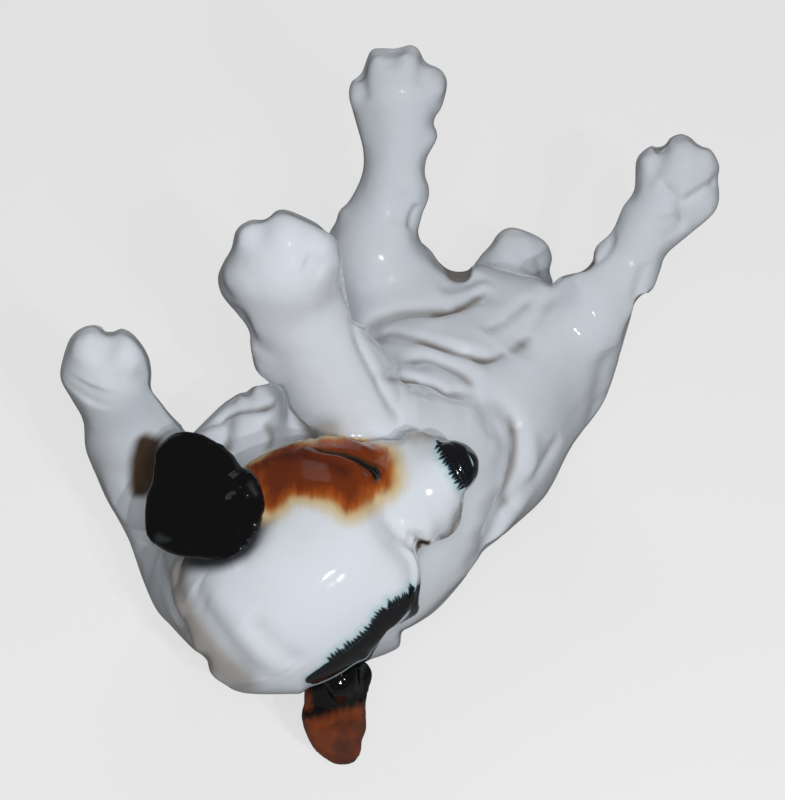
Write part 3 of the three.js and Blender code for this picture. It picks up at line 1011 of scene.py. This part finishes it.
# Painted warm grey shade. The last line but one runs down the neck. The others pass beside the head, and
# their shade lies along its edges, where it is nearest to them.
PAINTED_SIDE_SHADE = [
    Brush([(556, 287), (577, 281), (595, 269), (606, 249), (625, 216), (636, 196)], 1.6, 2.0),
    Brush([(450, 280), (472, 274), (500, 279), (540, 288), (580, 285)], 1.6, 2.0),
    Brush([(655, 268), (648, 286), (640, 294)], 0.8, 0.8),
    Brush([(358, 118), (367, 140), (368, 165), (358, 196), (342, 222)], 0.5, 1.0),
    Brush([(254, 322), (256, 346), (268, 372), (282, 400)], 0.8, 1.2),
    Brush([(90, 415), (93, 445), (104, 478), (124, 518), (141, 556), (160, 596)], 0.8, 2.6),
    Brush([(168, 560), (174, 596), (192, 632), (216, 662), (240, 682)], 2.0, 1.4),
    Brush([(612, 362), (594, 402), (564, 444), (538, 490), (490, 538), (440, 596)], 0.8, 1.6),
]
# Black run from the left ear on to the skull, with painted shade along the crease where the ear's edge lies
# on it.
SMUDGE_AND_SHADE = [
    Brush([(184, 557), (208, 561), (230, 557), (246, 546), (254, 531), (260, 514), (263, 496)], 1.3, 1.2),
    Brush([(228, 552), (240, 544), (249, 530), (252, 515)], 1.5, 1.5),
]
WORN = [Brush([(410, 618), (392, 632), (374, 655)], 0.8, 1.4)]
# The leg under the left ear carries a painted brown shadow of the ear.
EAR_SHADOW_OUTLINE = [
    (162, 438), (146, 433), (135, 440), (130, 458), (129, 480), (132, 496), (142, 503), (154, 500),
    (160, 470),
]

sight = Sight(figure, only=HEAD)
points = places(figure)
measures = {
    "black": brushed(points, sight, [*NOSE, *BROW]),
    "slit": brushed(points, sight, [*EYE_LINE, *MOUTH]),
    "brown": brushed(points, sight, WORN),
    "rust": filled(points, sight, RUST),
    "umber": brushed(points, sight, UMBER),
    "smudge_and_shade": brushed(points, sight, SMUDGE_AND_SHADE),
}
off_head = ~on_castings(figure, {HEAD})
for depth in measures.values():
    depth[off_head] = UNPAINTED
measures["side_shade"] = brushed(points, sight, PAINTED_SIDE_SHADE)
measures["ear_shadow"] = filled(points, Sight(figure, only=LUTED.index("left_foreleg")), EAR_SHADOW_OUTLINE)


def hollows(mesh, rounds):
    """How far the skin round each point stands above it, in millimetres: below 0 on ridges."""
    points = places(mesh)
    return ((even(points.copy(), edge_ends(mesh), 2 * rounds) - points) * facings(mesh)).sum(1) / MM


# The hollow measure: where glaze gathers grey-beige in the folds and painted shade darkens the creases.
FINE_ROUNDS = 14
BROAD_ROUNDS = 110
DEEPEST = 1.7
fine_and_broad = 1.8 * hollows(figure, FINE_ROUNDS) + hollows(figure, BROAD_ROUNDS)
measures["hollow"] = np.minimum(fine_and_broad, DEEPEST)


def keep(mesh, name, values):
    """Keeps a number at each point of a mesh for its material."""
    mesh.attributes.new(name, "FLOAT", "POINT").data.foreach_set("value", values.astype(np.float32))


# The castings' glazed skins
# The whole skin is parted again into the castings that it covers, each closed inside where it is luted on.
# The resting flat is wiped bare, and the vent that lets hot air out of the trunk is open in it.

RESTING_BELOW = 0.3 * MM
FACING_DOWN = -0.85
VENT_RECESS = 3.5 * MM
LIP_DEPTH = 2.5 * MM
WAY_TO_CENTRE = 0.45

points = places(figure)
normals = facings(figure)
resting = (points[:, 2] < RESTING_BELOW) & (normals[:, 2] < FACING_DOWN)
points[resting, 2] = 0
points[:, 2] = np.maximum(points[:, 2], 0)
from_vent = np.hypot(points[:, 0] - VENT_MIDDLE.x, points[:, 1] - VENT_MIDDLE.y)
vent = (from_vent < VENT_R) & (points[:, 2] < 1 * MM)
points[vent, 2] += VENT_RECESS
move(figure, points)
measures["foot"] = (resting & ~vent).astype(float)
for name, values in measures.items():
    keep(figure, name, values)
facing = figure.attributes.new("facing", "FLOAT_VECTOR", "POINT")
facing.data.foreach_set("vector", facings(figure).astype(np.float32).ravel())


def closed_inside(part):
    """Closes each open edge of a skin with a lip that goes down into the clay and a fan to a point inside."""
    centre = sum((vert.co for vert in part.verts), Vector()) / len(part.verts)
    open_edges = [edge for edge in part.edges if edge.is_boundary]
    for loop in islands(open_edges, lambda edge: [other for vert in edge.verts for other in vert.link_edges]):
        corners = dict.fromkeys(vert for edge in loop for vert in edge.verts)
        rim_middle = sum((vert.co for vert in corners), Vector()) / len(corners)
        middle = rim_middle.lerp(centre, WAY_TO_CENTRE)
        facing = part.verts.layers.float_vector["facing"]
        for depth in (LIP_DEPTH, 0):
            grown = bmesh.ops.extrude_edge_only(part, edges=loop)["geom"]
            rim = [item for item in grown if isinstance(item, bmesh.types.BMVert)]
            loop = [item for item in grown if isinstance(item, bmesh.types.BMEdge) and item.is_boundary]
            for vert in rim:
                vert.co -= vert[facing].normalized() * depth
                vert[facing] = (0, 0, 0)
                for layer in part.verts.layers.float.values():
                    vert[layer] = UNPAINTED
        bmesh.ops.pointmerge(part, verts=rim, merge_co=middle)


for index, node in enumerate(LUTED):
    part = opened(figure)
    leave_only(part, index)
    closed_inside(part)
    bmesh.ops.recalc_face_normals(part, faces=part.faces)
    for face in part.faces:
        face.material_index = 0
        face.smooth = True
    mesh = bpy.data.meshes.new(node)
    part.to_mesh(mesh)
    part.free()
    inherited = numbers(mesh.attributes["facing"].data, "vector", 3)
    mesh.normals_split_custom_set_from_vertices(inherited.tolist())
    mesh.attributes.remove(mesh.attributes["facing"])
    mesh.materials.append(white_glaze)
    glazed_piece = in_scene(node + "_glazed", mesh)
    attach(glazed_piece, "root")
    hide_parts(node)

# The ears
# Two solid flaps, thick at the root and rolled at the rim, in black colour under glaze. The left one is
# folded forward over its root, and the right one hangs down from the back of the head, with a red-brown
# tip.

EAR_GRAIN = 0.5 * MM
GREY_BLACK = (0.0025, 0.0022, 0.0026, 1)
# painted grey-blue highlight along the ear rims
RIM_HIGHLIGHT_GREY = (0.05, 0.065, 0.065, 1)
DARK_RUST = (0.075, 0.024, 0.014, 1)
RUST_RED = (0.20, 0.042, 0.010, 1)


def black_ear(wiring):
    """Black colour with a painted grey-blue highlight along the rims, and red-brown where the rust is brushed
    on.
    """
    spot = wiring.node("TexCoord", {}, "Object")
    clouds = wiring.noise(spot, 230.0, 2.0)
    strokes = wiring.node("Group", {"Per metre": 1000.0}, "Streaks", node_tree=streaks)
    # a painted highlight along the rims of the ear
    rim = wiring.coat("rim", clouds, 1.0, 0.2, 1.4)
    black = wiring.mixed(wiring.product(rim, 0.6), GREY_BLACK, RIM_HIGHLIGHT_GREY)
    tip = wiring.coat("rust", strokes, 2.6, 0.5, 2.2)
    tone = wiring.mixed(wiring.between(clouds, 0.35, 0.68), DARK_RUST, RUST_RED)
    return wiring.mixed(tip, black, tone)


def full_shine(wiring, shader):
    """Glaze all over."""
    set_inputs(shader, {"Roughness": GLAZE_ROUGHNESS, "Coat Weight": 1.0})


black_glaze = glazed("black ear glaze", black_ear, full_shine)

EAR_OUTLINES = {
    "left_ear": [
        (187, 432), (201, 435), (217, 443), (230, 453), (239, 464), (247, 473), (254, 482), (259, 492),
        (261, 506), (257, 520), (252, 531), (247, 541), (241, 550), (227, 558), (211, 560), (191, 557),
        (171, 553), (153, 543), (146, 532), (145, 512), (147, 495), (152, 481), (154, 463), (156, 450),
        (164, 441), (174, 434), (187, 432),
    ],
    "right_ear": [
        (368, 664), (371, 670), (372, 676), (369, 689), (366, 702), (366, 716), (366, 729), (362, 741),
        (361, 750), (357, 759), (349, 764), (336, 764), (326, 759), (316, 751), (310, 742), (305, 731),
        (302, 720), (302, 711), (304, 703), (304, 696),
    ],
}
EAR_STROKES = {
    "left_ear": [
        raised(0.8, 0.3, (160, 446), (176, 437), (196, 437), (216, 446), (230, 458), (238, 474)),
        raised(1.0, 0.4, (156, 540), (172, 548), (192, 552), (214, 552), (232, 546)),
        raised(1.5, 0.6, (236, 470), (243, 490), (246, 508), (240, 524)),
        raised(1.6, 0.6, (246, 476), (255, 490), (257, 506), (251, 526)),
        pressed(0.7, 0.6, (242, 476), (250, 494), (251, 512), (245, 530)),
        pressed(1.5, 0.4, (214, 534), (228, 534), (240, 532)),
        raised(1.6, 0.4, (240, 545), (251, 531), (257, 517)),
        raised(1.0, 0.8, (233, 502)),
        raised(0.9, 0.7, (245, 477)),
        raised(0.9, 0.7, (249, 491)),
        raised(0.9, 0.4, (250, 525)),
    ],
    "right_ear": [
        raised(2.2, 1.3, (341, 685)),
        raised(2.4, 1.2, (324, 683), (342, 674), (358, 668)),
        pressed(0.7, 0.6, (364, 664), (361, 678), (362, 690), (364, 700)),
        pressed(1.6, 0.5, (308, 704), (330, 711), (352, 708)),
    ],
}
EAR_RUST = {
    "left_ear": [],
    "right_ear": [
        Brush([(303, 730), (318, 728), (332, 722), (348, 716), (367, 710)], 1.2, 1.2),
        Brush([(318, 742), (338, 746), (356, 736)], 4.0, 4.0),
        Brush([(306, 690), (307, 706)], 0.3, 0.7),
    ],
}
# Painted highlights along the rims of the ears, where the edges catch the light.
EAR_RIM_HIGHLIGHT = {
    "left_ear": [
        Brush([(148, 496), (153, 470), (156, 450), (166, 438), (187, 432), (203, 436), (219, 445)], 0.2, 0.2),
        Brush([(216, 443), (232, 456), (239, 468)], 0.2, 0.4),
        Brush([(156, 546), (180, 556), (210, 559)], 0.5, 0.3),
        Brush([(158, 538), (168, 540)], 0.9, 0.5),
        Brush([(250, 484), (256, 494)], 0.5, 0.3),
    ],
    "right_ear": [Brush([(364, 665), (361, 678), (363, 698)], 0.4, 0.2)],
}

for node, strokes in EAR_STROKES.items():
    ear = fused(gathered([casting(node)]), EAR_GRAIN)
    ear = worked(ear, smoothing(8), FINER)
    fettle(ear, EAR_OUTLINES[node])
    model(ear, strokes)
    sight = Sight(ear)
    keep(ear, "rust", brushed(places(ear), sight, EAR_RUST[node]))
    keep(ear, "rim", brushed(places(ear), sight, EAR_RIM_HIGHLIGHT[node]))
    ear.shade_smooth()
    ear.materials.clear()
    ear.materials.append(black_glaze)
    glazed_ear = in_scene(node + "_glazed", ear)
    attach(glazed_ear, "root")
    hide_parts(node)

# The studio
# A plain pale floor, which looks evenly bright to the camera and keeps the shadow, a pair of small lamps
# and a soft panel near the camera, a pale card behind the figurine that fills its far side, and even light
# from all round.

FLOOR_REACH = 2.5
CAMERA_SEES = 0.66
LAMP_DISTANCE = 0.34

floor_shape = bmesh.new()
bmesh.ops.create_grid(floor_shape, x_segments=1, y_segments=1, size=FLOOR_REACH)
floor = in_scene("floor", bpy.data.meshes.new("floor"))
floor_shape.to_mesh(floor.data)

paper = bpy.data.materials.new("pale paper")
paper.use_nodes = True
shader = paper.node_tree.nodes["Principled BSDF"]
set_inputs(shader, {"Base Color": (0.2, 0.2, 0.2, 1), "Roughness": 0.8, "Emission Color": (1, 1, 1, 1)})
wiring = Wiring(paper.node_tree)
seen = wiring.node("LightPath", {}, "Is Camera Ray")
wiring.tree.links.new(wiring.product(seen, CAMERA_SEES), shader.inputs["Emission Strength"])
floor.data.materials.append(paper)


def lamp(name, width, power, way, distance=LAMP_DISTANCE):
    """A round lamp that is aimed at the figurine."""
    light = bpy.data.lights.new(name, "AREA")
    light.shape = "DISK"
    light.size = width
    light.energy = power
    return aimed(name, light, AIM + way * distance, way)


def near_camera(right, up):
    """The direction from the figurine to a place a little beside the camera."""
    return (towards_camera + across * right + upwards * up).normalized()


lamp("left lamp of a pair", 0.005, 0.215, near_camera(0.19, -0.05))
lamp("right lamp of a pair", 0.005, 0.215, near_camera(0.28, -0.14))
lamp("soft panel", 0.10, 0.333, near_camera(0.0, 0.05)).visible_glossy = False
behind = Vector((-towards_camera.x, -towards_camera.y, 0.5))
lamp("pale card behind", 0.7, 3.4, behind.normalized(), 1.1).visible_glossy = False

studio = bpy.data.worlds.new("studio")
studio.use_nodes = True
set_inputs(studio.node_tree.nodes["Background"], {"Color": (1, 1, 1, 1), "Strength": 0.10})
bpy.context.scene.world = studio
bpy.context.scene.view_settings.view_transform = "Standard"
